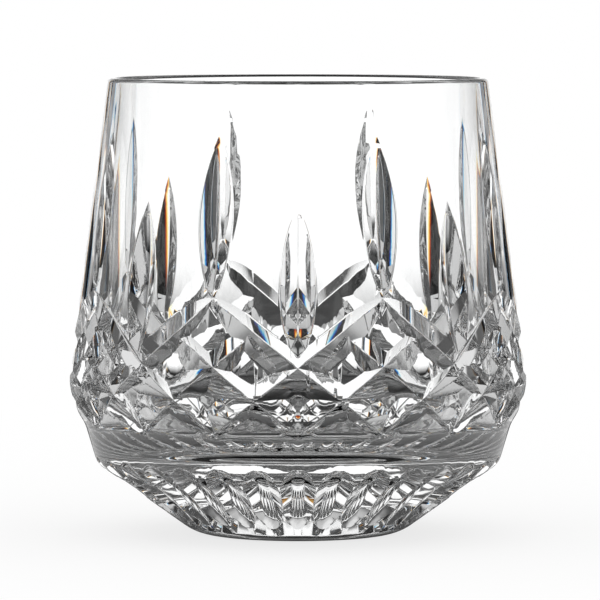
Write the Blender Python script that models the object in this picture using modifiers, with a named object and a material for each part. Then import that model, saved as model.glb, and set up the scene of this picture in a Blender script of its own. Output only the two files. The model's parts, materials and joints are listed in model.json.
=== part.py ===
"""Cut-crystal tumbler: one piece of clear glass, blown thick and then cut on V-edged wheels.

The blank is a turned shape. Every cut is made as a cutter makes it: a wheel is laid into the wall for
the upright lancets and the flutes under the heel, and drawn along a diagonal for the diamond lattice.
The glass stands on its foot at z = 0, with its axis on Z and one short lancet facing -Y.
"""
import math

import bmesh
import bpy
from mathutils import Matrix, Vector

MM = 0.001

# The blank, in millimetres. The corners of the outline are given before they are rounded.
HEIGHT = 84.0
RIM_RADIUS = 35.0
RIM_WALL = 1.8
BELLY_RADIUS = 42.6
BELLY_HEIGHT = 25.8
BELLY_ROUND = 13.0
BELLY_WALL = 5.8
WAIST_INSET = 3.3
WAIST_HEIGHT = 20.4
WAIST_ROUND = 7.0
HEEL_INSET = 5.5
HEEL_HEIGHT = 13.1
HEEL_ROUND = 4.0
FOOT_RADIUS = 18.7
FOOT_ROUND = 9.0
DISH_RADIUS = 13.0
DISH_DEPTH = 0.6
BASE_THICKNESS = 16.5
BORE_ROUND = 14.0

# The cutting.
REPEATS = 8
MITRE_ANGLE = 118.0
LANCET_DEPTH = 2.05
RIM_BAND = 9.4
LANCET_STAGGER = 12.2
LATTICE_DEPTH = 2.0
SECOND_HAND_LIFT = 0.12
LATTICE_STEP = 6.05
LATTICE_GAP = 0.7
LEAF_ENTRY = 11.0
LATTICE_ENTRY = 7.0
CUT_CROSSING = 0.8
FLUTES = 32
FLUTE_DEPTH = 1.25
FLUTE_RISE = 2.2
FLUTE_GAP = 4.6

# How finely the round shapes are divided.
TURN_STEPS = 48
ARC_STEP = 11.0
WHEEL_STEP = 4.0
SWEEP_STEPS = 9
CLEARANCE = 5.0


def rounded(corners):
    """Points of an outline through corners (x, z, rounding radius), with an arc at each rounded one."""
    points = []
    for index, (x, z, radius) in enumerate(corners):
        here = Vector((x, z))
        if radius == 0.0:
            points.append(here)
            continue
        back = (Vector(corners[index - 1][:2]) - here).normalized()
        ahead = (Vector(corners[index + 1][:2]) - here).normalized()
        half = back.angle(ahead) / 2
        centre = here + (back + ahead).normalized() * (radius / math.sin(half))
        start = here + back * (radius / math.tan(half)) - centre
        turn = start.angle_signed(here + ahead * (radius / math.tan(half)) - centre)
        steps = max(2, round(math.degrees(abs(turn)) / ARC_STEP))
        for step in range(steps + 1):
            points.append(centre + Matrix.Rotation(-turn * step / steps, 2) @ start)
    return points


def outer_outline():
    """The outside of the blank, from the lip down to the edge of the foot."""
    return rounded([
        (RIM_RADIUS - RIM_WALL, HEIGHT, 0.0),
        (RIM_RADIUS, HEIGHT, RIM_WALL * 0.499),
        (BELLY_RADIUS, BELLY_HEIGHT, BELLY_ROUND),
        (BELLY_RADIUS - WAIST_INSET, WAIST_HEIGHT, WAIST_ROUND),
        (BELLY_RADIUS - HEEL_INSET, HEEL_HEIGHT, HEEL_ROUND),
        (FOOT_RADIUS, 0.0, FOOT_ROUND),
        (DISH_RADIUS, 0.0, 0.0),
    ])[1:]


def blank_outline():
    """The whole outline: bore floor, bore wall, lip, outside, foot and the shallow dish under it."""
    bore = rounded([
        (0.0, BASE_THICKNESS, 0.0),
        (BELLY_RADIUS - BELLY_WALL, BASE_THICKNESS, BORE_ROUND),
        (RIM_RADIUS - RIM_WALL, HEIGHT, RIM_WALL * 0.499),
        (RIM_RADIUS, HEIGHT, 0.0),
    ])[:-1]
    dish = [Vector((DISH_RADIUS * math.cos(turn), DISH_DEPTH * math.sin(turn)))
            for turn in (math.radians(30.0), math.radians(60.0))]
    return bore + outer_outline() + dish + [Vector((0.0, DISH_DEPTH))]


def outside_radius(height):
    """Radius of the blank's outside at a height."""
    outline = outer_outline()
    for upper, lower in zip(outline, outline[1:]):
        if lower.y <= height <= upper.y and upper.y > lower.y:
            return lower.x + (upper.x - lower.x) * (height - lower.y) / (upper.y - lower.y)
    return outline[-1].x


def link(data, name, collection):
    piece = bpy.data.objects.new(name, data)
    collection.objects.link(piece)
    return piece


def turned_blank(collection):
    mesh = bpy.data.meshes.new("crystal_tumbler")
    shape = bmesh.new()
    half_facet = Matrix.Rotation(math.pi / TURN_STEPS, 3, "Z")
    points = [shape.verts.new(half_facet @ Vector((point.x * MM, 0.0, point.y * MM)))
              for point in blank_outline()]
    for first, second in zip(points, points[1:]):
        shape.edges.new((first, second))
    shape.to_mesh(mesh)
    shape.free()
    glass = link(mesh, "crystal_tumbler", collection)
    turn = glass.modifiers.new("turn", "SCREW")
    turn.steps = TURN_STEPS
    turn.render_steps = TURN_STEPS
    turn.use_merge_vertices = True
    turn.merge_threshold = 0.00001
    return glass


def wheel_cut(name, top, bottom, depth):
    """A V-edged wheel laid into the wall so that its cut runs between two points of the outline."""
    chord = bottom - top
    radius = (chord.length ** 2 / 4 + depth ** 2) / (2 * depth)
    steep = math.tan(math.radians(MITRE_ANGLE / 2))
    web = radius - CLEARANCE
    segments = int(360.0 / math.degrees(WHEEL_STEP / radius))
    shape = bmesh.new()
    bmesh.ops.create_cone(shape, cap_ends=True, segments=segments, radius1=web * MM, radius2=web * MM,
                          depth=2 * CLEARANCE * steep * MM)
    edge = bmesh.ops.bisect_plane(shape, geom=shape.verts[:] + shape.edges[:] + shape.faces[:],
                                  plane_co=(0, 0, 0), plane_no=(0, 0, 1))
    rim = [item for item in edge["geom_cut"] if isinstance(item, bmesh.types.BMVert)]
    bmesh.ops.scale(shape, verts=rim, vec=(radius / web, radius / web, 1.0))
    outward = Vector((-chord.y, chord.x)).normalized()
    hub = (top + bottom) / 2 + outward * (radius - depth)
    slope = math.atan2(-outward.y, -outward.x)
    place = (Matrix.Translation((hub.x * MM, 0.0, hub.y * MM)) @ Matrix.Rotation(-slope, 4, "Y")
             @ Matrix.Rotation(math.radians(90.0), 4, "X"))
    shape.transform(place)
    mesh = bpy.data.meshes.new(name)
    shape.to_mesh(mesh)
    shape.free()
    return mesh


def ring_of(name, mesh, count, first_angle, collection):
    """Copies of one cutter around the axis."""
    for number in range(count):
        cutter = link(mesh, f"{name}_{number}", collection)
        cutter.rotation_euler.z = math.radians(first_angle + 360.0 * number / count)
        cutter.display_type = "WIRE"
        cutter.hide_render = True


def mitre_section(collection):
    """The V of the wheel's edge, for a cut that is drawn along a path."""
    curve = bpy.data.curves.new("mitre_section", "CURVE")
    curve.dimensions = "2D"
    edge = curve.splines.new("POLY")
    edge.points.add(2)
    half_width = CLEARANCE * math.tan(math.radians(MITRE_ANGLE / 2))
    corners = ((0.0, 0.0), (CLEARANCE, half_width), (CLEARANCE, -half_width))
    for point, (x, y) in zip(edge.points, corners):
        point.co = (x * MM, y * MM, 0.0, 1.0)
    edge.use_cyclic_u = True
    section = link(curve, "mitre_section", collection)
    section.hide_render = True
    return section


def drawn_cut(name, section, top_height, foot_height, entry, hand, collection):
    """The wheel drawn down a diagonal, let in over `entry` at the top and lifted out at the foot."""
    pitch = 180.0 / REPEATS / (2 * LATTICE_STEP)
    span = math.hypot(1.0, math.radians(pitch) * BELLY_RADIUS)
    curve = bpy.data.curves.new(name, "CURVE")
    curve.dimensions = "3D"
    curve.twist_mode = "Z_UP"
    curve.bevel_mode = "OBJECT"
    curve.bevel_object = section
    curve.use_fill_caps = True
    path = curve.splines.new("POLY")
    path.points.add(SWEEP_STEPS)
    length = (top_height - foot_height) * span
    for step, point in enumerate(path.points):
        share = step / SWEEP_STEPS if hand > 0 else 1.0 - step / SWEEP_STEPS
        height = top_height + (foot_height - top_height) * share
        shallow = max(0.0, 1.0 - share * length / entry)
        lift = max(0.0, 1.0 - (1.0 - share) * length / LATTICE_ENTRY)
        full = LATTICE_DEPTH if hand > 0 else LATTICE_DEPTH - SECOND_HAND_LIFT
        depth = full * (1.0 - 1.08 * max(shallow, lift) ** 2)
        radius = outside_radius(height) - depth
        angle = math.radians(pitch * (top_height - height) * hand)
        point.co = (radius * math.cos(angle) * MM, radius * math.sin(angle) * MM, height * MM, 1.0)
    drawn = link(curve, name, collection)
    bpy.context.view_layer.update()
    mesh = bpy.data.meshes.new_from_object(drawn.evaluated_get(bpy.context.evaluated_depsgraph_get()))
    bpy.data.objects.remove(drawn)
    shape = bmesh.new()
    shape.from_mesh(mesh)
    bmesh.ops.remove_doubles(shape, verts=shape.verts[:], dist=0.000001)
    bmesh.ops.recalc_face_normals(shape, faces=shape.faces[:])
    shape.to_mesh(mesh)
    shape.free()
    return mesh


def clear_glass():
    material = bpy.data.materials.new("clear_crystal")
    material.use_nodes = True
    shader = material.node_tree.nodes["Principled BSDF"]
    shader.inputs["Base Color"].default_value = (0.95, 0.96, 0.96, 1.0)
    shader.inputs["Roughness"].default_value = 0.02
    shader.inputs["Metallic"].default_value = 0.0
    shader.inputs["IOR"].default_value = 1.545
    shader.inputs["Transmission Weight"].default_value = 1.0
    return material


def add_cutters(collection):
    """Lancets, lattice and flutes. Angles are from +X; the front of the glass is at -90 degrees."""
    front = -90.0
    sector = 360.0 / REPEATS
    foot = WAIST_HEIGHT + LATTICE_GAP
    middle = foot + 2 * LATTICE_STEP
    crown = foot + 4 * LATTICE_STEP
    for name, low, tip, start in (
            ("tall_lancet", crown, HEIGHT - RIM_BAND, front + sector / 2),
            ("short_lancet", middle, HEIGHT - RIM_BAND - LANCET_STAGGER, front)):
        ends = [Vector((outside_radius(height), height)) for height in (tip, low - CUT_CROSSING)]
        ring_of(name, wheel_cut(name, *ends, LANCET_DEPTH), REPEATS, start, collection)
    section = mitre_section(collection)
    for hand, side in ((1, "right"), (-1, "left")):
        leaf = drawn_cut(f"leaf_{side}", section, crown + CUT_CROSSING, foot - CUT_CROSSING, LEAF_ENTRY,
                         hand, collection)
        lead = CUT_CROSSING / (2 * LATTICE_STEP) * sector / 2
        ring_of(f"leaf_{side}", leaf, REPEATS, front + sector / 2 - hand * lead, collection)
        short = drawn_cut(f"short_{side}", section, crown - LATTICE_STEP, foot - CUT_CROSSING,
                          LATTICE_ENTRY, hand, collection)
        ring_of(f"short_{side}", short, REPEATS, front + hand * sector / 4, collection)
    bpy.data.objects.remove(section)
    heel = Vector((BELLY_RADIUS - HEEL_INSET, HEEL_HEIGHT))
    under = (Vector((FOOT_RADIUS, 0.0)) - heel).normalized()
    top = Vector((outside_radius(HEEL_HEIGHT + FLUTE_RISE), HEEL_HEIGHT + FLUTE_RISE))
    end = Vector((FOOT_RADIUS, 0.0)) - under * FLUTE_GAP
    ring_of("flute", wheel_cut("flute", top, end, FLUTE_DEPTH), FLUTES, front, collection)


def main():
    for item in list(bpy.data.objects):
        bpy.data.objects.remove(item)
    tumbler = bpy.data.collections.new("crystal_tumbler")
    cutters = bpy.data.collections.new("cutters")
    for collection in (tumbler, cutters):
        bpy.context.scene.collection.children.link(collection)
    glass = turned_blank(tumbler)
    add_cutters(cutters)
    cut = glass.modifiers.new("cutting", "BOOLEAN")
    cut.operation = "DIFFERENCE"
    cut.solver = "EXACT"
    cut.operand_type = "COLLECTION"
    cut.collection = cutters
    weld = glass.modifiers.new("weld", "WELD")
    weld.merge_threshold = 0.000005
    glass.data.materials.append(clear_glass())


main()
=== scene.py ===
"""Cut-crystal tumbler in a white studio.

The tumbler is made the way a glass cutter makes one: a thick blank is turned, wheels are laid into it and
drawn across it, and the cut blank is polished. The stage is a white table in a small light tent with black
flags.
"""
import json
import math

import bmesh
import bpy
from mathutils import Matrix, Vector
from mathutils.geometry import intersect_point_line
from mathutils.kdtree import KDTree

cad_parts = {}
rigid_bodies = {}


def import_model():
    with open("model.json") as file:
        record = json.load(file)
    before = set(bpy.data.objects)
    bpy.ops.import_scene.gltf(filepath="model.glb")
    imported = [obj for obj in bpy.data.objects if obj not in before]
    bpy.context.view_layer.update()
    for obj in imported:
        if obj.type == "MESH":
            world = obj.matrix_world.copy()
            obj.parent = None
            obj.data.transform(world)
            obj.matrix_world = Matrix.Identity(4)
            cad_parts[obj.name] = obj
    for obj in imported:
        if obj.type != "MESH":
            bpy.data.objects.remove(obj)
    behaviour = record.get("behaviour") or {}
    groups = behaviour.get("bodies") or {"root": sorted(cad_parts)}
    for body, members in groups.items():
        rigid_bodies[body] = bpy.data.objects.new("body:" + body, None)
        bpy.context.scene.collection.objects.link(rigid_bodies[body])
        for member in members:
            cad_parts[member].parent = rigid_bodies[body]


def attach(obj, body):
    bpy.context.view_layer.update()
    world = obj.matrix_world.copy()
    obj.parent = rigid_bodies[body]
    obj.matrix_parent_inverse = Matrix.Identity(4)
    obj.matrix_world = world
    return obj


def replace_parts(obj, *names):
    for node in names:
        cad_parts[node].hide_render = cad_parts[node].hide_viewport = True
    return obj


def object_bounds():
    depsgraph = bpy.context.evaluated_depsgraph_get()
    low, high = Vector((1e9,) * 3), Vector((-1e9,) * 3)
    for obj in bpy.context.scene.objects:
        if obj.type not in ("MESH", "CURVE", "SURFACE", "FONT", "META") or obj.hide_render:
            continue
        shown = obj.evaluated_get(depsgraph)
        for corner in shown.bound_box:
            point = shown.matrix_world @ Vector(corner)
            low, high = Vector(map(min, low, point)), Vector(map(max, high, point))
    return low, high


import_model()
CAD_LOW, CAD_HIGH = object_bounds()

bl_info = {
    "name": "Cut-Crystal Tumbler",
    "version": (1, 0, 0),
    "blender": (4, 5, 0),
    "location": "3D View > Sidebar > Crystal",
    "description": "Turns, cuts and polishes a crystal tumbler, and sets it in a white studio",
    "category": "Add Mesh",
}

GLASS = "cut_crystal_tumbler"
CUTTERS = "cutting_wheels"
FRONT = -90.0  # the side that faces the camera, in degrees from +X
LIP_SHARE = 0.499  # rounding of the lip as a share of its thickness; at about a half the two sides meet
LET_CLEAR = 1.08  # lift of a drawn cut's ends as a share of its depth, so that they come clear of the glass
MERGE = 1e-6  # distance in metres that counts as none
FINE_MERGE = 1e-7  # the same on a drawn cutter
RUN_STEPS = 3  # steps along a crease's own run whose points don't crowd it
STUB = 2.0  # an edge that leaves a crease is cleared if it is shorter than this many scraps
SHORTEST = 1.2  # a crease has to be longer than this many scraps to be rounded
LEVEL = 0.5  # a face is level if its normal rises or falls by more than this
BOUNCES = 24  # turns that light may take in the glass


def length(name, description, default):
    return bpy.props.FloatProperty(
        name=name, description=description, default=default, unit="LENGTH", precision=5)


def angle(name, description, default):
    return bpy.props.FloatProperty(
        name=name, description=description, default=math.radians(default), subtype="ANGLE")


def number(name, description, default):
    return bpy.props.IntProperty(name=name, description=description, default=default, min=1)


def amount(name, description, default):
    return bpy.props.FloatProperty(name=name, description=description, default=default, precision=4)


def colour(name, description, default):
    return bpy.props.FloatVectorProperty(
        name=name, description=description, default=default, size=3, subtype="COLOR", min=0.0, max=1.0)


class CrystalBlank(bpy.types.PropertyGroup):
    """The turned blank: corners of its outline before they are rounded, and its walls"""

    height: length("Height", "Height of the lip above the table", CAD_HIGH.z - CAD_LOW.z)
    rim_radius: length("Rim radius", "Outside radius at the lip", 0.0350)
    rim_wall: length("Rim wall", "Thickness of the lip", 0.0018)
    belly_radius: length("Belly radius", "Corner radius of the widest turn", 0.0426)
    belly_height: length("Belly height", "Height of the belly corner", 0.0258)
    belly_round: length("Belly rounding", "Rounding of the belly corner", 0.0130)
    belly_wall: length("Belly wall", "Thickness of the wall at the foot of the bore", 0.0058)
    waist_inset: length("Waist inset", "How far the band under the belly stands in", 0.0033)
    waist_height: length("Waist height", "Height of the band's upper corner", 0.0204)
    waist_round: length("Waist rounding", "Rounding of the band's upper corner", 0.0070)
    heel_inset: length("Heel inset", "How far the heel stands in from the belly", 0.0055)
    heel_height: length("Heel height", "Height of the heel", 0.0131)
    heel_round: length("Heel rounding", "Rounding of the heel", 0.0040)
    foot_radius: length("Foot radius", "Corner radius of the foot", 0.0187)
    foot_round: length("Foot rounding", "Rounding of the foot", 0.0090)
    dish_radius: length("Dish radius", "Radius of the dish ground under the foot", 0.0130)
    dish_depth: length("Dish depth", "Depth of the dish ground under the foot", 0.0006)
    base_thickness: length("Base thickness", "Height of the bore's floor", 0.0165)
    bore_round: length("Bore rounding", "Rounding at the foot of the bore", 0.0140)
    dish_steps: number("Dish steps", "Steps from the edge of the dish to its middle", 6)
    turns: number("Turning steps", "Steps round the axis", 320)
    arc_step: angle("Arc step", "Turn of each step along a rounding", 4.0)
    ring_step: length("Ring step", "Distance between rings along a straight run", 0.0045)


class CrystalCutting(bpy.types.PropertyGroup):
    """The wheel cuts: every wheel has the same V edge, which is rounded for the flutes"""

    repeats: number("Repeats", "Repeats of the pattern round the glass", 8)
    mitre: angle("Mitre angle", "Angle between the two faces of a cut", 118.0)
    lancet_depth: length("Lancet depth", "Depth of the upright cuts", 0.00205)
    rim_band: length("Rim band", "Plain glass left under the lip", 0.0094)
    stagger: length("Stagger", "How much lower the short lancets end", 0.0122)
    lattice_depth: length("Lattice depth", "Depth of the diagonal cuts", 0.0020)
    lattice_step: length("Lattice step", "Half height of a diamond", 0.00605)
    crown_rows: number("Crown rows", "Half diamonds from the lattice's foot to the tall lancets", 4)
    short_rows: number("Short rows", "Half diamonds from the lattice's foot to the short lancets", 2)
    lattice_gap: length("Lattice gap", "Plain band between the lattice and the waist", 0.0007)
    leaf_entry: length("Leaf entry", "Run over which a long diagonal is let in", 0.0110)
    short_entry: length("Short entry", "Run over which a short diagonal is let in", 0.0070)
    crossing: length("Crossing", "How far a cut runs over the one that it meets", 0.0008)
    flutes: number("Flutes", "Flutes under the heel", 32)
    flute_depth: length("Flute depth", "Depth of the flutes before their wheel is rounded", 0.00132)
    flute_round: length("Flute rounding", "How far the rounding of their wheel's edge reaches", 0.0014)
    wheel_segments: number("Wheel segments", "Steps across that rounding", 6)
    flute_rise: length("Flute rise", "How far the flutes climb over the heel", 0.0022)
    flute_gap: length("Flute gap", "Plain glass left round the foot", 0.0034)
    ripple: length("Ripple", "Height of the ripples that the wheel leaves in the flutes", 0.000006)
    ripple_step: length("Ripple step", "Distance between ripples", 0.0026)
    ripple_points: number("Ripple points", "Steps along each ripple", 4)
    clearance: length("Clearance", "How far a wheel's bevel reaches out of the glass", 0.0050)
    wheel_step: length("Wheel step", "Step along a wheel's edge", 0.0009)
    draw_steps: number("Drawing steps", "Steps along a drawn cut", 48)


class CrystalFinish(bpy.types.PropertyGroup):
    """Colour and polish of the crystal"""

    tint: colour("Tint", "Colour of the crystal", (0.998, 0.999, 0.999))
    smoky: colour("Smoky tint", "Colour of the faint cords in the crystal", (0.985, 0.990, 0.990))
    edge: length("Edge", "Width of the rounding that polishing leaves on an edge", 0.00022)
    segments: number("Edge segments", "Steps across that rounding", 2)
    smooth: angle("Smooth", "Angle up to which faces are shaded as one surface", 40.0)
    crease: angle("Crease", "Turn of the surface from which an edge counts as a crease", 16.0)
    scrap: length("Scrap", "Size under which steps along an edge are drawn together", 0.0001)
    beside: length("Beside", "How close to an edge its faces are cleared of points", 0.00028)
    graze: angle("Graze", "Angle under which lines that run into an edge are cleared", 25.0)
    room: length("Room", "Space that an edge needs to be rounded", 0.0011)
    cord_scale: amount("Cord scale", "Fineness of the cords", 60.0)
    scuff_scale: amount("Scuff scale", "Fineness of the scuffs", 2500.0)
    wear: amount("Wear", "Roughness of the scuffs on the ring that the glass stands on", 0.30)
    wear_height: length("Wear height", "Height above the table where the scuffs end", 0.0004)
    index: amount("Refractive index", "Index of lead-free crystal", 1.545)


class CrystalStudio(bpy.types.PropertyGroup):
    """Table, light tent and camera"""

    # Painted shadow under the glass: the table's tone there is darker than the far table, and only the glass
    # shows it.
    table: amount("Table", "Tone of the table top under the glass", 0.22)
    table_far: amount("Far table", "Tone of the table top away from the glass", 0.68)
    shade: amount("Shade", "Depth of the shadow that the camera sees on the table", 0.22)
    card: amount("Card", "Tone of the dark cards that lie behind and before the glass", 0.03)
    card_spread: amount("Card spread", "Half width of a card for each length away from the glass", 0.50)
    card_soft: length("Card softness", "Width of a card's soft edge, taken sideways", 0.008)
    painted_shadow_radius: length("Near radius", "How far out the table keeps its tone under the glass", 0.045)
    # Painted shadow: the darker tone under the glass holds out to the first radius and has faded by the
    # second.
    painted_shadow_end: length("Fade radius", "Where the far table and the cards have their full tone", 0.070)
    table_radius: length("Table radius", "Radius of the table top", 0.270)
    table_sides: number("Table sides", "Sides of the round table top", 128)
    matt: amount("Matt", "Least roughness of the table top", 0.9)
    tooth_scale: amount("Tooth scale", "Fineness of the table top's grain", 900.0)
    reach: length("Reach", "Distance of the four walls of the light tent from the glass's axis", 0.200)
    wall_height: length("Wall height", "Height of those walls", 0.200)
    skirt: length("Skirt", "Height over which the walls darken towards the table", 0.022)
    panel_top: length("Panel top", "Height up to which the wall behind the glass is lit", 0.155)
    back_rise: length("Back rise", "How much lower the light ends on the other walls", 0.040)
    panel_soft: length("Panel softness", "Height over which the light falls off", 0.062)
    panel_half: length("Panel half width", "Half the width of the white panel on each wall", 0.108)
    flag_end: length("Flag end", "Where the black flag beside it ends", 0.157)
    flag_soft: length("Flag softness", "Width of a flag's soft edge", 0.006)
    fringe: length("Fringe", "How far red and blue part at the edge of a flag", 0.0018)
    panel: amount("Panel", "Brightness of the white panels", 1.22)
    side_half: length(
        "Side half width", "Half the width of the lit strip on the walls at the left and right", 0.056)
    side_strip: amount("Side strip", "Share of the panels' brightness on that strip", 0.68)
    sides: amount("Sides", "Share of that brightness beside that strip", 0.10)
    front: amount("Front", "Share of that brightness on the wall that the camera looks through", 0.32)
    seam: length("Seam", "Measure of the soft passages between the lights of the tent", 0.005)
    flag: amount("Flag", "Brightness of the black flags", 0.01)
    corner: amount("Corner", "Full brightness of the corners between the flags", 1.0)
    above: amount("Above", "Brightness of the room above the walls", 0.08)
    camera_distance: length("Camera distance", "Distance of the camera from the axis", 1.0)
    camera_height: length("Camera height", "Height of the lens", 0.1028)
    aim_height: length("Aim height", "Height of the point that the camera looks at", 0.043)
    aim_side: length("Aim side", "Sideways place of the camera", 0.00037)
    lens: amount("Lens", "Focal length in millimetres", 325.8)


GROUPS = {
    "crystal_blank": CrystalBlank,
    "crystal_cutting": CrystalCutting,
    "crystal_finish": CrystalFinish,
    "crystal_studio": CrystalStudio,
}


# Outline of the blank.


def rounded(corners, arc_step):
    """Points of an outline through corners (x, z, rounding radius), with an arc at each rounded one."""
    points = []
    for place, (x, z, radius) in enumerate(corners):
        here = Vector((x, z))
        if radius == 0.0:
            points.append(here)
            continue
        back = (Vector(corners[place - 1][:2]) - here).normalized()
        ahead = (Vector(corners[place + 1][:2]) - here).normalized()
        half = back.angle(ahead) / 2
        centre = here + (back + ahead).normalized() * (radius / math.sin(half))
        start = here + back * (radius / math.tan(half)) - centre
        turn = start.angle_signed(here + ahead * (radius / math.tan(half)) - centre)
        steps = max(2, round(abs(turn) / arc_step))
        for step in range(steps + 1):
            points.append(centre + Matrix.Rotation(-turn * step / steps, 2) @ start)
    return points


def outer_outline(blank):
    """The outside of the blank, from the lip down to the edge of the foot."""
    lip_round = blank.rim_wall * LIP_SHARE
    return rounded([
        (blank.rim_radius - blank.rim_wall, blank.height, 0.0),
        (blank.rim_radius, blank.height, lip_round),
        (blank.belly_radius, blank.belly_height, blank.belly_round),
        (blank.belly_radius - blank.waist_inset, blank.waist_height, blank.waist_round),
        (blank.belly_radius - blank.heel_inset, blank.heel_height, blank.heel_round),
        (blank.foot_radius, 0.0, blank.foot_round),
        (blank.dish_radius, 0.0, 0.0),
    ], blank.arc_step)[1:]


def blank_outline(blank):
    """The whole outline: bore floor, bore wall, lip, outside, foot and the shallow dish under it."""
    lip_round = blank.rim_wall * LIP_SHARE
    bore = rounded([
        (0.0, blank.base_thickness, 0.0),
        (blank.belly_radius - blank.belly_wall, blank.base_thickness, blank.bore_round),
        (blank.rim_radius - blank.rim_wall, blank.height, lip_round),
        (blank.rim_radius, blank.height, 0.0),
    ], blank.arc_step)[:-1]
    dish = [Vector((blank.dish_radius * math.cos(turn), blank.dish_depth * math.sin(turn)))
            for turn in (math.pi / 2 * step / blank.dish_steps for step in range(1, blank.dish_steps))]
    corners = bore + outer_outline(blank) + dish + [Vector((0.0, blank.dish_depth))]
    points = [corners[0]]
    for here, there in zip(corners, corners[1:]):
        runs = max(1, math.ceil((there - here).length / blank.ring_step))
        points += [here.lerp(there, run / runs) for run in range(1, runs + 1)]
    return points


def outside_radius(blank, height):
    """Radius of the blank's outside at a height."""
    outline = outer_outline(blank)
    for upper, lower in zip(outline, outline[1:]):
        if lower.y <= height <= upper.y and upper.y > lower.y:
            return lower.x + (upper.x - lower.x) * (height - lower.y) / (upper.y - lower.y)
    return outline[-1].x


# Modelling by hand.


def deselect():
    bpy.ops.object.select_all(action="DESELECT")


def take(piece):
    """Makes a piece the only one selected, and active."""
    deselect()
    piece.select_set(True)
    bpy.context.view_layer.objects.active = piece


def start_point(place):
    """A piece that is a single point, to be extruded."""
    deselect()
    bpy.ops.mesh.primitive_plane_add(size=0.001)
    bpy.ops.object.mode_set(mode="EDIT")
    bpy.ops.mesh.select_all(action="SELECT")
    bpy.ops.mesh.merge(type="CENTER")
    bpy.ops.transform.translate(value=place)
    return bpy.context.object


def tidy_mesh(merge):
    """In edit mode: closes seams and poles and turns every face outwards."""
    bpy.ops.mesh.select_all(action="SELECT")
    bpy.ops.mesh.remove_doubles(threshold=merge)
    bpy.ops.mesh.normals_make_consistent(inside=False)


def cutter_collection():
    if CUTTERS not in bpy.data.collections:
        bpy.context.scene.collection.children.link(bpy.data.collections.new(CUTTERS))
    return bpy.data.collections[CUTTERS]


def shelve(cutter, name):
    """Puts a cutter among the cutters."""
    cutter.name = name
    for home in list(cutter.users_collection):
        home.objects.unlink(cutter)
    cutter_collection().objects.link(cutter)
    cutter.hide_render = True
    cutter.display_type = "WIRE"


def ring_of(cutter, name, count, first_angle):
    """Copies a cutter round the axis."""
    for place in range(count):
        copy = cutter.copy()
        copy.data = cutter.data.copy()
        bpy.context.scene.collection.objects.link(copy)
        spin = math.radians(first_angle + 360.0 * place / count)
        copy.matrix_world = Matrix.Rotation(spin, 4, "Z")
        shelve(copy, f"{name}_{place}")
    bpy.data.objects.remove(cutter)


def laid_wheel(cutting, top, bottom, depth, step):
    """A V-edged wheel, and how it is laid in to cut from one point of the outline to another."""
    chord = bottom - top
    radius = (chord.length ** 2 / 4 + depth ** 2) / (2 * depth)
    web = radius - cutting.clearance
    width = 2 * cutting.clearance * math.tan(cutting.mitre / 2)
    deselect()
    bpy.ops.mesh.primitive_cylinder_add(
        vertices=int(2 * math.pi * radius / step), radius=web, depth=width)
    wheel = bpy.context.object
    bpy.ops.object.mode_set(mode="EDIT")
    bpy.ops.mesh.select_all(action="SELECT")
    bpy.ops.mesh.bisect(plane_co=(0.0, 0.0, 0.0), plane_no=(0.0, 0.0, 1.0))
    bpy.ops.transform.resize(value=(radius / web, radius / web, 1.0), center_override=(0.0, 0.0, 0.0))
    bpy.ops.object.mode_set(mode="OBJECT")
    outward = Vector((-chord.y, chord.x)).normalized()
    hub = (top + bottom) / 2 + outward * (radius - depth)
    slope = math.atan2(-outward.y, -outward.x)
    lay = (Matrix.Translation((hub.x, 0.0, hub.y)) @ Matrix.Rotation(-slope, 4, "Y")
           @ Matrix.Rotation(math.radians(90.0), 4, "X"))
    return wheel, lay


def round_wheel(wheel, cutting):
    """Rounds a wheel's edge and waves it, so that its cut is hollow and rippled along its length."""
    take(wheel)
    bpy.ops.object.mode_set(mode="EDIT")
    bpy.ops.mesh.select_mode(type="EDGE")
    bpy.ops.mesh.select_all(action="DESELECT")
    mesh = bmesh.from_edit_mesh(wheel.data)
    for edge in mesh.edges:
        edge.select_set(all(abs(point.co.z) < MERGE for point in edge.verts))
    bmesh.update_edit_mesh(wheel.data)
    bpy.ops.mesh.bevel(offset=cutting.flute_round, segments=cutting.wheel_segments, clamp_overlap=False)
    bpy.ops.object.mode_set(mode="OBJECT")
    for point in wheel.data.vertices:
        out = point.co.xy.length
        wave = math.sin(2 * math.pi * math.atan2(point.co.y, point.co.x) * out / cutting.ripple_step)
        point.co.xy *= 1.0 + cutting.ripple * wave / out


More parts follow.
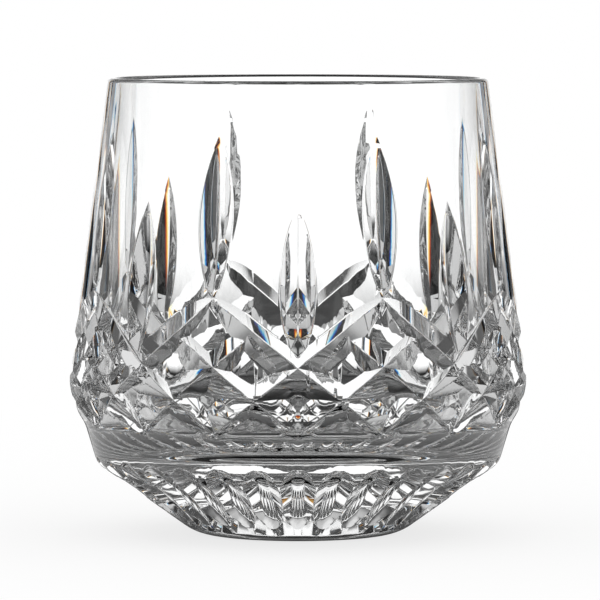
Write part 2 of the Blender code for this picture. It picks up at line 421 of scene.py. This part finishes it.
def drawn_cut(blank, cutting, top_height, foot_height, entry, hand):
    """The wheel drawn down a diagonal, let in over `entry` at the top and lifted out at the foot.

    Its V is spun about the axis, and each step is then let down and in to follow the wall.
    """
    pitch = math.pi / cutting.repeats / (2 * cutting.lattice_step)
    sweep = pitch * (top_height - foot_height)
    run = math.hypot(top_height - foot_height, sweep * blank.belly_radius)
    half_width = cutting.clearance * math.tan(cutting.mitre / 2)
    apex = blank.belly_radius
    cutter = start_point((apex, 0.0, 0.0))
    for step in ((cutting.clearance, 0.0, half_width), (0.0, 0.0, -2 * half_width)):
        bpy.ops.mesh.extrude_region_move(TRANSFORM_OT_translate={"value": step})
    bpy.ops.mesh.select_all(action="SELECT")
    bpy.ops.mesh.edge_face_add()
    bpy.ops.mesh.select_all(action="SELECT")
    bpy.ops.mesh.spin(steps=cutting.draw_steps, angle=sweep, center=(0.0, 0.0, 0.0), axis=(0.0, 0.0, 1.0))
    tidy_mesh(FINE_MERGE)
    bpy.ops.object.mode_set(mode="OBJECT")
    for point in cutter.data.vertices:
        turn = abs(math.atan2(point.co.y, point.co.x))
        share = turn / sweep
        height = top_height + (foot_height - top_height) * share
        shallow = max(0.0, 1.0 - share * run / entry)
        lift = max(0.0, 1.0 - (1.0 - share) * run / cutting.short_entry)
        depth = cutting.lattice_depth * (1.0 - LET_CLEAR * max(shallow, lift) ** 2)
        reach = point.co.xy.length - apex + outside_radius(blank, height) - depth
        point.co = (reach * math.cos(turn * hand), reach * math.sin(turn * hand), point.co.z + height)
    take(cutter)
    bpy.ops.object.mode_set(mode="EDIT")
    tidy_mesh(FINE_MERGE)
    bpy.ops.object.mode_set(mode="OBJECT")
    return cutter


# Edges of the cuts.


def creases(mesh, finish):
    """Edges at which the surface turns sharply."""
    return {edge for edge in mesh.edges if edge.calc_face_angle(0.0) > finish.crease}


def points_beside(mesh, finish):
    """Points that lie off the creases, but too close to one for it to be rounded."""
    sharp = creases(mesh, finish)
    on = {point for edge in sharp for point in edge.verts}
    beside = set()
    for edge in sharp:
        start, end = (point.co for point in edge.verts)
        for point in {point for face in edge.link_faces for point in face.verts} - on:
            share = intersect_point_line(point.co, start, end)[1]
            if (point.co - start.lerp(end, min(max(share, 0.0), 1.0))).length < finish.beside:
                beside.add(point)
    return beside


def edges_beside(mesh, finish):
    """Edges that run into a crease almost along it, or that end too close to it."""
    sharp = creases(mesh, finish)
    beside = set()
    for crease in sharp:
        for point in crease.verts:
            along = crease.other_vert(point).co - point.co
            for edge in set(point.link_edges) - sharp:
                way = edge.other_vert(point).co - point.co
                if way.length < STUB * finish.scrap or way.angle(along, 0.0) < finish.graze:
                    beside.add(edge)
    return beside


def clear_runs(mesh, finish):
    """Creases with room to be rounded: no others meet them or run close by."""
    sharp = creases(mesh, finish)
    ends = {}
    for edge in sharp:
        for point in edge.verts:
            ends.setdefault(point, []).append(edge)
    points = list(ends)
    tree = KDTree(len(points))
    for place, point in enumerate(points):
        tree.insert(point.co, place)
    tree.balance()
    crowded = set()
    for point in points:
        line = {point}
        for _ in range(RUN_STEPS):
            line |= {edge.other_vert(each) for each in line for edge in ends[each]}
        near = {points[place] for _, place, _ in tree.find_range(point.co, finish.room)}
        if len(ends[point]) != 2 or near - line:
            crowded.add(point)
    return {edge for edge in sharp
            if edge.calc_length() > SHORTEST * finish.scrap and not crowded.intersection(edge.verts)}


def select_only(piece, kind, rule, finish):
    """In edit mode: selects the points or edges that a rule chooses, and no others."""
    bpy.ops.mesh.select_mode(type=kind)
    bpy.ops.mesh.select_all(action="DESELECT")
    mesh = bmesh.from_edit_mesh(piece.data)
    for part in rule(mesh, finish):
        part.select_set(True)
    mesh.select_flush_mode()
    bmesh.update_edit_mesh(piece.data)


# Materials.


class Socket:
    """A shader value that Python arithmetic acts on; each operation adds a Math node."""

    def __init__(self, tree, output):
        self.tree = tree
        self.output = output

    def _math(self, operation, first, second):
        node = self.tree.nodes.new("ShaderNodeMath")
        node.operation = operation
        for place, value in enumerate((first, second)):
            self.plug(node.inputs[place], value)
        return Socket(self.tree, node.outputs[0])

    def plug(self, target, value):
        if isinstance(value, Socket):
            self.tree.links.new(value.output, target)
        else:
            target.default_value = value

    def __add__(self, other):
        return self._math("ADD", self, other)

    def __radd__(self, other):
        return self._math("ADD", other, self)

    def __sub__(self, other):
        return self._math("SUBTRACT", self, other)

    def __rsub__(self, other):
        return self._math("SUBTRACT", other, self)

    def __mul__(self, other):
        return self._math("MULTIPLY", self, other)

    def __rmul__(self, other):
        return self._math("MULTIPLY", other, self)

    def act(self, operation, other=0.0):
        return self._math(operation, self, other)

    def ramp(self, start, end, first, last):
        """This value's smooth passage from first at start to last at end."""
        return self.add("ShaderNodeMapRange", {"interpolation_type": "SMOOTHSTEP"}, {
            "Value": self, "From Min": start, "From Max": end, "To Min": first, "To Max": last})

    def add(self, kind, settings=None, inputs=None, output=0):
        """Adds a node of a kind, sets it up, then fills its sockets, and returns one of its outputs."""
        node = self.tree.nodes.new(kind)
        for name, value in (settings or {}).items():
            setattr(node, name, value)
        for name, value in (inputs or {}).items():
            self.plug(node.inputs[name], value)
        return Socket(self.tree, node.outputs[output])


def material_canvas(name):
    """A new material without nodes but its output; returns it, its canvas and the output node."""
    material = bpy.data.materials.new(name)
    material.use_nodes = True
    tree = material.node_tree
    tree.nodes.clear()
    output = tree.nodes.new("ShaderNodeOutputMaterial")
    return material, Socket(tree, None), output


def polished_crystal(finish):
    """Clear crystal with faint cords in it and fine wear on the ring that it stands on."""
    material, canvas, output = material_canvas("polished_crystal")
    place = canvas.add("ShaderNodeTexCoord", output="Object")
    cords = canvas.add(
        "ShaderNodeTexNoise", inputs={"Vector": place, "Scale": finish.cord_scale, "Detail": 2.0})
    tint = canvas.add(
        "ShaderNodeMix", {"data_type": "RGBA"},
        {"Factor": cords, 6: (*finish.tint, 1.0), 7: (*finish.smoky, 1.0)}, output=2)
    rise = canvas.add("ShaderNodeSeparateXYZ", inputs={"Vector": place}, output="Z")
    scuffs = canvas.add(
        "ShaderNodeTexNoise", inputs={"Vector": place, "Scale": finish.scuff_scale, "Detail": 4.0})
    shader = canvas.add("ShaderNodeBsdfPrincipled", inputs={
        "Base Color": tint,
        "Roughness": rise.ramp(0.0, finish.wear_height, finish.wear, 0.0) * scuffs,
        "IOR": finish.index,
        "Transmission Weight": 1.0,
    })
    canvas.plug(output.inputs["Surface"], shader)
    return material


def table_top(studio):
    """Matt table top with dark cards behind and before the glass, which show only in the glass.

    To the camera it is white, with a soft shadow; in the glass it shows a painted shadow under the glass.
    """
    material, canvas, output = material_canvas("table_top")
    place = canvas.add("ShaderNodeTexCoord", output="Object")
    tooth = canvas.add(
        "ShaderNodeTexNoise", inputs={"Vector": place, "Scale": studio.tooth_scale, "Detail": 3.0})
    out = canvas.add("ShaderNodeVectorMath", {"operation": "LENGTH"}, {0: place}, output=1)
    side, ahead = (canvas.add("ShaderNodeSeparateXYZ", inputs={"Vector": place}, output=axis).act("ABSOLUTE")
                   for axis in "XY")
    soft = studio.card_soft / 2
    beyond = (side - studio.card_spread * ahead).ramp(-soft, soft, studio.card, studio.table_far)
    # Painted shadow: within the near radius the table has the darker tone of the glass's shadow, fading out
    # to the far table and the cards.
    tone = studio.table + (beyond - studio.table) * out.ramp(studio.painted_shadow_radius, studio.painted_shadow_end, 0.0, 1.0)
    seen = canvas.add("ShaderNodeLightPath", output="Is Camera Ray")
    paper = canvas.add("ShaderNodeBsdfPrincipled", inputs={
        "Base Color": tone + (studio.shade - tone) * seen,
        "Roughness": studio.matt + (1.0 - studio.matt) * tooth,
        "Specular IOR Level": 0.0,
        "Emission Color": (1.0 - studio.shade) * seen,
        "Emission Strength": 1.0,
    })
    canvas.plug(output.inputs["Surface"], paper)
    return material


def tent_wall(studio):
    """Walls of the light tent: a white panel in the middle of each, black flags beside it, light corners.

    Of the panels at the left and right only a strip is bright. On the far half of the tent red and blue meet
    a flag a little apart, as crystal parts them.
    """
    material, canvas, output = material_canvas("tent_wall")
    place = {"Vector": canvas.add("ShaderNodeTexCoord", output="Object")}
    side, ahead, rise = (canvas.add("ShaderNodeSeparateXYZ", inputs=place, output=axis) for axis in "XYZ")
    seam = studio.seam
    nearer = ahead.ramp(-2 * seam, 2 * seam, 1.0, 0.0)
    facing = 1.0 - (1.0 - studio.front) * nearer
    back = ahead.ramp(studio.reach - 2 * seam, studio.reach - seam, 0.0, 1.0)
    side, ahead = side.act("ABSOLUTE"), ahead.act("ABSOLUTE")
    across = side.act("MINIMUM", ahead)
    beside = (side - ahead).ramp(-seam, seam, 0.0, 1.0)
    narrow = across.ramp(
        studio.side_half - 2 * seam, studio.side_half + 2 * seam, studio.side_strip, studio.sides)
    share = facing * (1.0 - beside) + narrow * beside
    lower = rise + studio.back_rise * (1.0 - back)
    lit = lower.ramp(studio.panel_top - studio.panel_soft, studio.panel_top, 1.0, 0.0)
    corner_share = share + (1.0 - share) * nearer
    share = share * rise.ramp(0.0, studio.skirt, 0.0, 1.0)
    soft = studio.flag_soft / 2
    bands = []
    for part in (1.0, 0.0, -1.0):
        met = across - part * studio.fringe * (1.0 - nearer)
        panel = met.ramp(studio.panel_half - soft, studio.panel_half + soft, studio.panel, studio.flag)
        corner = met.ramp(studio.flag_end - soft, studio.flag_end + soft, 0.0, studio.corner)
        bands.append((panel * share + corner * corner_share) * lit + studio.above * (1.0 - lit))
    tone = canvas.add("ShaderNodeCombineColor", inputs=dict(zip(("Red", "Green", "Blue"), bands)))
    light = canvas.add("ShaderNodeEmission", inputs={"Color": tone, "Strength": 1.0})
    canvas.plug(output.inputs["Surface"], light)
    return material


# Operators.


class CRYSTAL_OT_turn_blank(bpy.types.Operator):
    """Turn the blank: draw its outline and spin it about the axis"""

    bl_idname = "crystal.turn_blank"
    bl_label = "Turn Blank"

    def execute(self, context):
        blank = context.scene.crystal_blank
        outline = blank_outline(blank)
        glass = start_point((outline[0].x, 0.0, outline[0].y))
        for here, there in zip(outline, outline[1:]):
            step = there - here
            bpy.ops.mesh.extrude_region_move(TRANSFORM_OT_translate={"value": (step.x, 0.0, step.y)})
        bpy.ops.mesh.select_all(action="SELECT")
        bpy.ops.transform.rotate(
            value=math.pi / blank.turns, orient_axis="Z", center_override=(0.0, 0.0, 0.0))
        bpy.ops.mesh.spin(
            steps=blank.turns, angle=2 * math.pi, center=(0.0, 0.0, 0.0), axis=(0.0, 0.0, 1.0))
        tidy_mesh(MERGE)
        bpy.ops.object.mode_set(mode="OBJECT")
        glass.name = glass.data.name = GLASS
        return {"FINISHED"}


class CRYSTAL_OT_lay_lancets(bpy.types.Operator):
    """Lay the wheel into the wall for the tall and the short upright lancets"""

    bl_idname = "crystal.lay_lancets"
    bl_label = "Lay Lancets"

    def execute(self, context):
        blank, cutting = context.scene.crystal_blank, context.scene.crystal_cutting
        sector = 360.0 / cutting.repeats
        foot = blank.waist_height + cutting.lattice_gap
        tip = blank.height - cutting.rim_band
        for name, low, high, start in (
                ("tall_lancet", foot + cutting.crown_rows * cutting.lattice_step, tip, FRONT + sector / 2),
                ("short_lancet", foot + cutting.short_rows * cutting.lattice_step,
                 tip - cutting.stagger, FRONT)):
            ends = [Vector((outside_radius(blank, height), height))
                    for height in (high, low - cutting.crossing)]
            wheel, lay = laid_wheel(cutting, *ends, cutting.lancet_depth, cutting.wheel_step)
            wheel.data.transform(lay)
            ring_of(wheel, name, cutting.repeats, start)
        return {"FINISHED"}


class CRYSTAL_OT_draw_lattice(bpy.types.Operator):
    """Draw the wheel down both diagonals for the leaves and the diamonds"""

    bl_idname = "crystal.draw_lattice"
    bl_label = "Draw Lattice"

    def execute(self, context):
        blank, cutting = context.scene.crystal_blank, context.scene.crystal_cutting
        sector = 360.0 / cutting.repeats
        foot = blank.waist_height + cutting.lattice_gap
        crown = foot + cutting.crown_rows * cutting.lattice_step
        lead = cutting.crossing / (2 * cutting.lattice_step) * sector / 2
        for hand, side in ((1, "right"), (-1, "left")):
            leaf = drawn_cut(blank, cutting, crown + cutting.crossing, foot - cutting.crossing,
                             cutting.leaf_entry, hand)
            ring_of(leaf, f"leaf_{side}", cutting.repeats, FRONT + sector / 2 - hand * lead)
            short = drawn_cut(blank, cutting, crown - cutting.lattice_step, foot - cutting.crossing,
                              cutting.short_entry, hand)
            ring_of(short, f"short_{side}", cutting.repeats, FRONT + hand * sector / 4)
        return {"FINISHED"}


class CRYSTAL_OT_lay_flutes(bpy.types.Operator):
    """Lay the wheel in under the heel for the ring of flutes"""

    bl_idname = "crystal.lay_flutes"
    bl_label = "Lay Flutes"

    def execute(self, context):
        blank, cutting = context.scene.crystal_blank, context.scene.crystal_cutting
        heel = Vector((blank.belly_radius - blank.heel_inset, blank.heel_height))
        foot = Vector((blank.foot_radius, 0.0))
        climb = blank.heel_height + cutting.flute_rise
        top = Vector((outside_radius(blank, climb), climb))
        end = foot - (foot - heel).normalized() * cutting.flute_gap
        step = cutting.ripple_step / cutting.ripple_points
        wheel, lay = laid_wheel(cutting, top, end, cutting.flute_depth, step)
        round_wheel(wheel, cutting)
        wheel.data.transform(lay)
        ring_of(wheel, "flute", cutting.flutes, FRONT)
        return {"FINISHED"}


class CRYSTAL_OT_polish_glass(bpy.types.Operator):
    """Cut the blank with every wheel, polish it, and let it stand for its body in the frame"""

    bl_idname = "crystal.polish_glass"
    bl_label = "Polish Glass"

    def execute(self, context):
        glass = bpy.data.objects[GLASS]
        take(glass)
        cut = glass.modifiers.new("cutting", "BOOLEAN")
        cut.operation = "DIFFERENCE"
        cut.solver = "MANIFOLD"
        cut.operand_type = "COLLECTION"
        cut.collection = cutter_collection()
        bpy.ops.object.modifier_apply(modifier=cut.name)
        for cutter in list(cutter_collection().objects):
            bpy.data.objects.remove(cutter)
        bpy.data.collections.remove(cutter_collection())
        self.soften_edges(context, glass)
        glass.data.materials.clear()
        glass.data.materials.append(polished_crystal(context.scene.crystal_finish))
        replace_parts(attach(glass, "root"), "crystal_tumbler")
        return {"FINISHED"}

    def soften_edges(self, context, glass):
        """Rounds the edges as the polishing bath does, but for those in crowded places, which stay sharp."""
        finish = context.scene.crystal_finish
        take(glass)
        bpy.ops.object.mode_set(mode="EDIT")
        select_only(glass, "EDGE", creases, finish)
        bpy.ops.mesh.dissolve_degenerate(threshold=finish.scrap)
        select_only(glass, "VERT", points_beside, finish)
        bpy.ops.mesh.dissolve_verts()
        select_only(glass, "EDGE", edges_beside, finish)
        bpy.ops.mesh.dissolve_edges(use_verts=False)
        select_only(glass, "EDGE", creases, finish)
        bpy.ops.mesh.mark_sharp()
        select_only(glass, "EDGE", clear_runs, finish)
        bpy.ops.mesh.mark_sharp(clear=True)
        bpy.ops.mesh.bevel(
            offset=finish.edge, segments=finish.segments, loop_slide=False, clamp_overlap=False)
        bpy.ops.object.mode_set(mode="OBJECT")
        bpy.ops.object.shade_smooth_by_angle(angle=finish.smooth)
        flat = glass.modifiers.new("keep_faces_true", "WEIGHTED_NORMAL")
        flat.mode = "FACE_AREA"
        flat.weight = 100
        flat.thresh = 0.2
        flat.keep_sharp = True
        bpy.ops.object.modifier_apply(modifier=flat.name)


class CRYSTAL_OT_set_stage(bpy.types.Operator):
    """Set the table, the light tent round it, the white room and the camera"""

    bl_idname = "crystal.set_stage"
    bl_label = "Set Stage"

    def execute(self, context):
        scene, studio = context.scene, context.scene.crystal_studio
        self.lay_table(studio)
        self.pitch_tent(studio)
        self.light_room(scene, studio)
        self.place_camera(scene, studio)
        scene.view_settings.view_transform = "Standard"
        scene.cycles.max_bounces = BOUNCES
        scene.cycles.transmission_bounces = BOUNCES
        scene.cycles.glossy_bounces = BOUNCES
        scene.cycles.caustics_reflective = False
        scene.cycles.caustics_refractive = False
        return {"FINISHED"}

    def lay_table(self, studio):
        deselect()
        bpy.ops.mesh.primitive_circle_add(
            vertices=studio.table_sides, radius=studio.table_radius, fill_type="NGON",
            location=(0.0, 0.0, 0.0))
        table = bpy.context.object
        table.name = "table_top"
        table.data.materials.append(table_top(studio))

    def pitch_tent(self, studio):
        """Four walls round the glass that it mirrors and shows; the camera looks through them."""
        deselect()
        bpy.ops.mesh.primitive_cube_add(size=2.0 * studio.reach)
        tent = bpy.context.object
        bpy.ops.object.mode_set(mode="EDIT")
        bpy.ops.mesh.select_mode(type="FACE")
        bpy.ops.mesh.select_all(action="SELECT")
        bpy.ops.transform.resize(value=(1.0, 1.0, studio.wall_height / (2.0 * studio.reach)))
        bpy.ops.transform.translate(value=(0.0, 0.0, studio.wall_height / 2.0))
        bpy.ops.mesh.select_all(action="DESELECT")
        mesh = bmesh.from_edit_mesh(tent.data)
        for face in mesh.faces:
            face.select_set(abs(face.normal.z) > LEVEL)
        bmesh.update_edit_mesh(tent.data)
        bpy.ops.mesh.delete(type="FACE")
        bpy.ops.object.mode_set(mode="OBJECT")
        tent.name = "light_tent"
        tent.data.materials.append(tent_wall(studio))
        tent.visible_camera = tent.visible_diffuse = tent.visible_shadow = False

    def light_room(self, scene, studio):
        """A room that is plain white to the camera and the table, and dim above the tent."""
        scene.world = bpy.data.worlds.new("studio_room")
        scene.world.use_nodes = True
        tree = scene.world.node_tree
        tree.nodes.clear()
        canvas = Socket(tree, None)
        plain = (canvas.add("ShaderNodeLightPath", output="Is Camera Ray")
                 + canvas.add("ShaderNodeLightPath", output="Is Diffuse Ray"))
        tone = plain.ramp(0.0, 1.0, studio.above, 1.0)
        light = canvas.add("ShaderNodeBackground", inputs={"Color": tone, "Strength": 1.0})
        output = tree.nodes.new("ShaderNodeOutputWorld")
        canvas.plug(output.inputs["Surface"], light)

    def place_camera(self, scene, studio):
        deselect()
        bpy.ops.object.camera_add(
            location=(studio.aim_side, -studio.camera_distance, studio.camera_height))
        camera = bpy.context.object
        camera.name = "studio_camera"
        aim = Vector((studio.aim_side, 0.0, studio.aim_height)) - camera.location
        camera.rotation_euler = aim.to_track_quat("-Z", "Y").to_euler()
        camera.data.lens = studio.lens
        camera.data.sensor_width = 36.0
        camera.data.clip_start = 0.01
        scene.camera = camera


STEPS = (
    CRYSTAL_OT_turn_blank,
    CRYSTAL_OT_lay_lancets,
    CRYSTAL_OT_draw_lattice,
    CRYSTAL_OT_lay_flutes,
    CRYSTAL_OT_polish_glass,
    CRYSTAL_OT_set_stage,
)


class CRYSTAL_PT_workshop(bpy.types.Panel):
    """The steps from blank to finished tumbler"""

    bl_label = "Crystal Tumbler"
    bl_idname = "CRYSTAL_PT_workshop"
    bl_space_type = "VIEW_3D"
    bl_region_type = "UI"
    bl_category = "Crystal"

    def draw(self, context):
        for step in STEPS:
            self.layout.operator(step.bl_idname)


CLASSES = (*GROUPS.values(), *STEPS, CRYSTAL_PT_workshop)


def register():
    for item in CLASSES:
        bpy.utils.register_class(item)
    for name, group in GROUPS.items():
        setattr(bpy.types.Scene, name, bpy.props.PointerProperty(type=group))


def unregister():
    for name in GROUPS:
        delattr(bpy.types.Scene, name)
    for item in reversed(CLASSES):
        bpy.utils.unregister_class(item)


def main():
    register()
    bpy.ops.crystal.turn_blank()
    bpy.ops.crystal.lay_lancets()
    bpy.ops.crystal.draw_lattice()
    bpy.ops.crystal.lay_flutes()
    bpy.ops.crystal.polish_glass()
    bpy.ops.crystal.set_stage()


if __name__ == "__main__":
    main()
